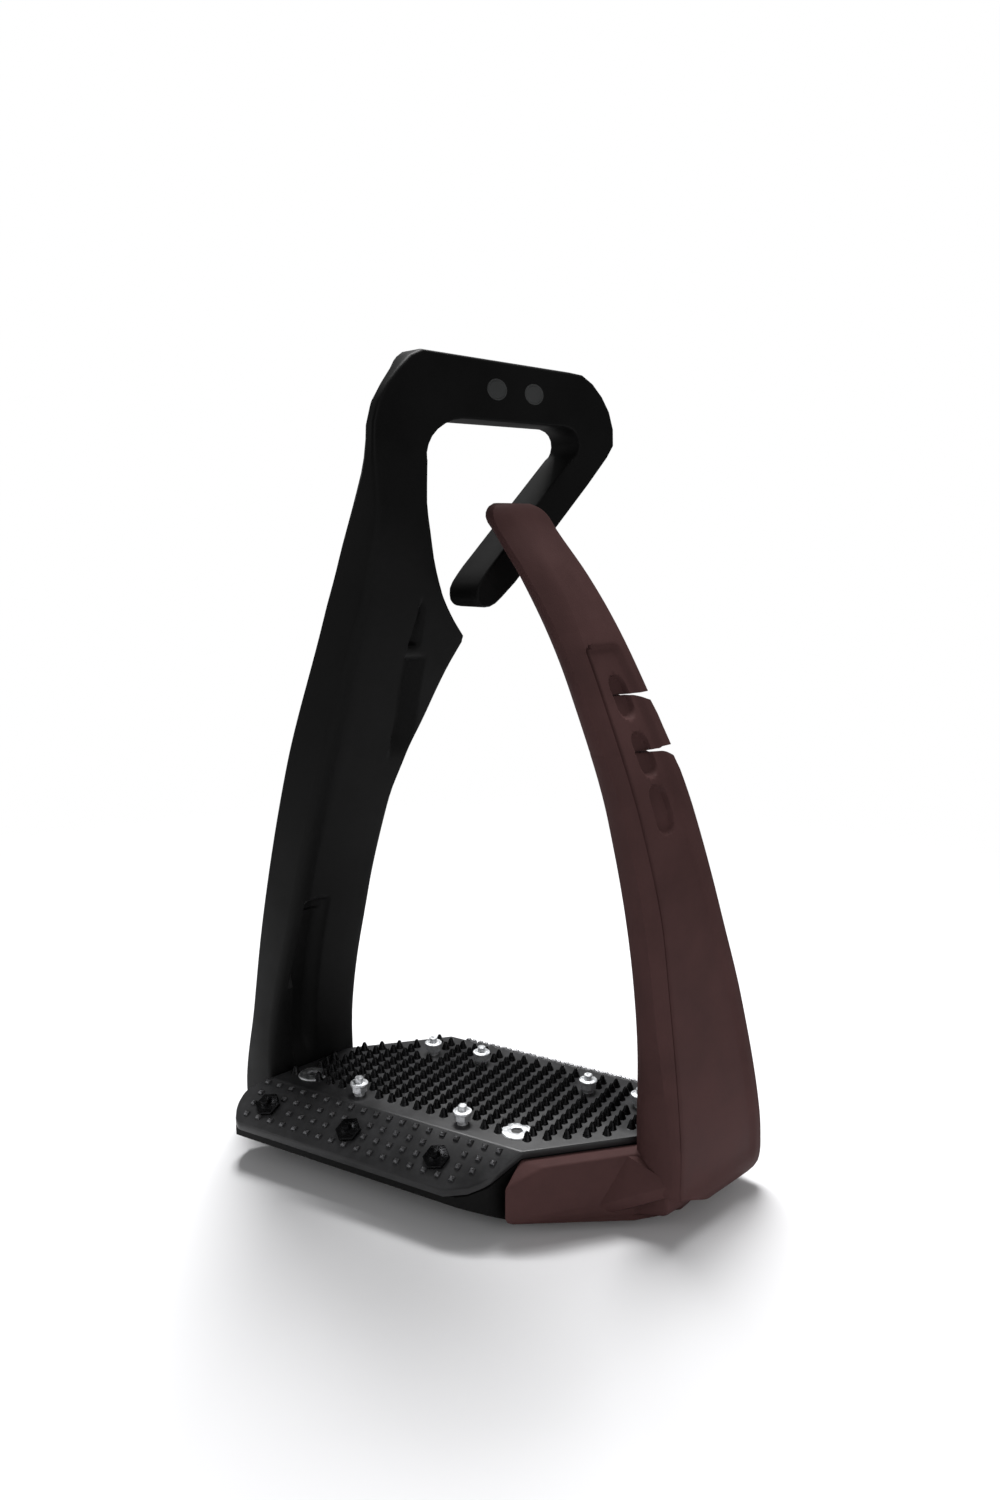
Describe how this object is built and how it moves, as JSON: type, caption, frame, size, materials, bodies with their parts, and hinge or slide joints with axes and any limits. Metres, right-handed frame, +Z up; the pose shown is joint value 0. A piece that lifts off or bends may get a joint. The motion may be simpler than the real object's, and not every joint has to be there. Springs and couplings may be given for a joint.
{
  "type": "safety stirrup iron",
  "caption": "Riding stirrup with a steel-cored branch, a hooked leather eye, a spiked tread and a flexible outer arm that bends open to free the foot.",
  "frame": {"origin": "on the ground under the centre of the tread", "axes": "+X along the tread from the main branch to the flexible arm, +Y to the rear, +Z up"},
  "size_m": [0.1381, 0.0781, 0.203],
  "materials": {
    "black_polymer": "satin moulded polymer",
    "brown_polymer": "matte moulded elastomer",
    "spring_steel": "rolled spring steel",
    "grey_plug": "matte",
    "black_plate": "black satin coat over pressed steel",
    "zinc_steel": "bright zinc",
    "black_steel": "black oxide",
    "brass_insert": "knurled brass"
  },
  "bodies": {
    "root": {"arm_foot": "brown_polymer", "arm_insert_front": "brass_insert", "arm_insert_rear": "brass_insert", "arm_screw_front": "zinc_steel", "arm_screw_rear": "zinc_steel", "core_plug_front": "grey_plug", "core_plug_rear": "grey_plug", "front_stud_1": "black_steel", "front_stud_2": "black_steel", "front_stud_3": "black_steel", "leather_eye": "black_polymer", "main_branch": "black_polymer", "pad_insert_left": "brass_insert", "pad_insert_right": "brass_insert", "pad_screw_left": "zinc_steel", "pad_screw_right": "zinc_steel", "steel_core": "spring_steel", "top_stud_1": "zinc_steel", "top_stud_2": "zinc_steel", "top_stud_3": "zinc_steel", "top_stud_4": "zinc_steel", "top_stud_5": "zinc_steel", "top_stud_6": "zinc_steel", "tread_base": "black_polymer", "tread_plate": "black_plate"},
    "arm_lower": {"arm_lower": "brown_polymer"},
    "arm_middle": {"arm_middle": "brown_polymer"},
    "arm_upper": {"arm_upper": "brown_polymer"}
  },
  "joints": [
    {"name": "arm_lower_bend", "type": "hinge", "parent": "root", "child": "arm_lower", "pos_m": [0.05428, -0.01557, 0.038], "axis": [0.2756, 0.9613, 0], "range_deg": [0, 12], "stiffness_Nm_per_rad": 1.2},
    {"name": "arm_middle_bend", "type": "hinge", "parent": "arm_lower", "child": "arm_middle", "pos_m": [0.04035, -0.01157, 0.114], "axis": [0.2756, 0.9613, 0], "range_deg": [0, 12], "stiffness_Nm_per_rad": 0.3},
    {"name": "arm_upper_bend", "type": "hinge", "parent": "arm_middle", "child": "arm_upper", "pos_m": [0.03519, -0.01009, 0.128], "axis": [0.2756, 0.9613, 0], "range_deg": [0, 12], "stiffness_Nm_per_rad": 0.3}
  ],
  "couplings": [
    {"joint": "arm_middle_bend", "follows": "arm_lower_bend", "ratio": 1},
    {"joint": "arm_upper_bend", "follows": "arm_lower_bend", "ratio": 1}
  ]
}
